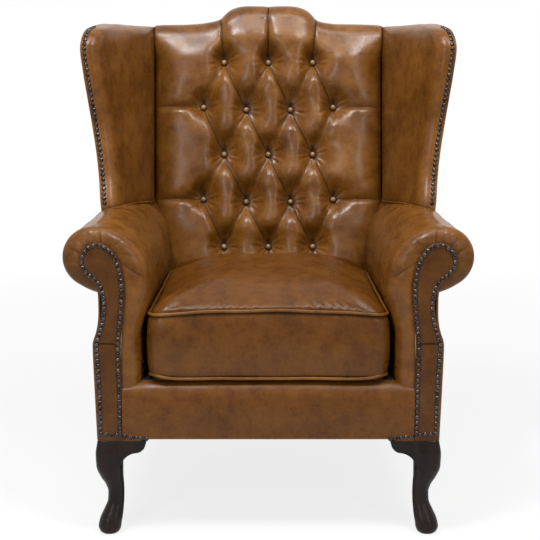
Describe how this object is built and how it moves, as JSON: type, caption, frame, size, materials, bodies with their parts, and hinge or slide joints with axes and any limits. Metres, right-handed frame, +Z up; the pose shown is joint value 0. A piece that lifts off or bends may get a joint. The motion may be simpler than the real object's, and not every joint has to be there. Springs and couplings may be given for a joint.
{
  "type": "wingback armchair",
  "caption": "Leather wingback armchair with a deep-buttoned back, scrolled arms with nailed facings, a loose box cushion and cabriole front legs.",
  "frame": {"origin": "on the floor, below the middle of the chair's bounding box", "axes": "+X to the right as the chair is seen from in front, -Y the way the chair faces, +Z up"},
  "size_m": [0.841, 0.8046, 1.1006],
  "materials": {
    "tan_leather": "antique tan, glossy, mottled",
    "button_leather": "tan leather over a button shell, satin",
    "piping_leather": "tan leather over cord, satin",
    "dark_mahogany": "dark mahogany stain under gloss lacquer",
    "antique_nails": "antiqued bronze heads",
    "lining_cloth": "black upholstery lining",
    "webbing": "woven jute webbing",
    "felt_pad": "compressed felt",
    "foam": "seat foam in a wadding wrap",
    "frame_steel": "plain drawn steel",
    "frame_timber": "unfinished hardwood"
  },
  "bodies": {
    "frame": {"arm_facing_left": "tan_leather", "arm_facing_right": "tan_leather", "arm_post_left": "frame_timber", "arm_post_right": "frame_timber", "arm_rail_left": "frame_timber", "arm_rail_right": "frame_timber", "arm_tacking_rail_left": "frame_timber", "arm_tacking_rail_right": "frame_timber", "back_buttons": "button_leather", "back_post_left": "frame_timber", "back_post_right": "frame_timber", "back_rail": "frame_timber", "back_webbing": "webbing", "corner_block_screws": "frame_steel", "corner_blocks": "frame_timber", "crest_rail": "frame_timber", "deck_cover": "lining_cloth", "deck_pad": "felt_pad", "dust_cover": "lining_cloth", "facing_nails_left": "antique_nails", "facing_nails_right": "antique_nails", "front_border": "tan_leather", "front_leg_left": "dark_mahogany", "front_leg_right": "dark_mahogany", "front_rail": "frame_timber", "inside_arm_left": "tan_leather", "inside_arm_right": "tan_leather", "inside_back": "tan_leather", "inside_wing_left": "tan_leather", "inside_wing_right": "tan_leather", "knee_blocks_left": "dark_mahogany", "knee_blocks_right": "dark_mahogany", "leg_bolts": "frame_steel", "lower_back_rail": "frame_timber", "outside_arm_left": "tan_leather", "outside_arm_right": "tan_leather", "outside_back": "tan_leather", "outside_wing_left": "tan_leather", "outside_wing_right": "tan_leather", "rear_leg_left": "dark_mahogany", "rear_leg_right": "dark_mahogany", "seat_springs": "frame_steel", "side_rail_left": "frame_timber", "side_rail_right": "frame_timber", "spring_clips": "frame_steel", "spring_cover": "lining_cloth", "wing_nails_left": "antique_nails", "wing_nails_right": "antique_nails", "wing_post_left": "frame_timber", "wing_post_right": "frame_timber", "wing_rail_left": "frame_timber", "wing_rail_right": "frame_timber"},
    "seat_cushion": {"cushion_core": "foam", "cushion_cover": "tan_leather", "cushion_piping_bottom": "piping_leather", "cushion_piping_top": "piping_leather"}
  },
  "joints": [
    {"name": "cushion_slide", "type": "slide", "parent": "frame", "child": "seat_cushion", "axis": [0, -1, 0], "range_m": [0, 0.24]}
  ]
}
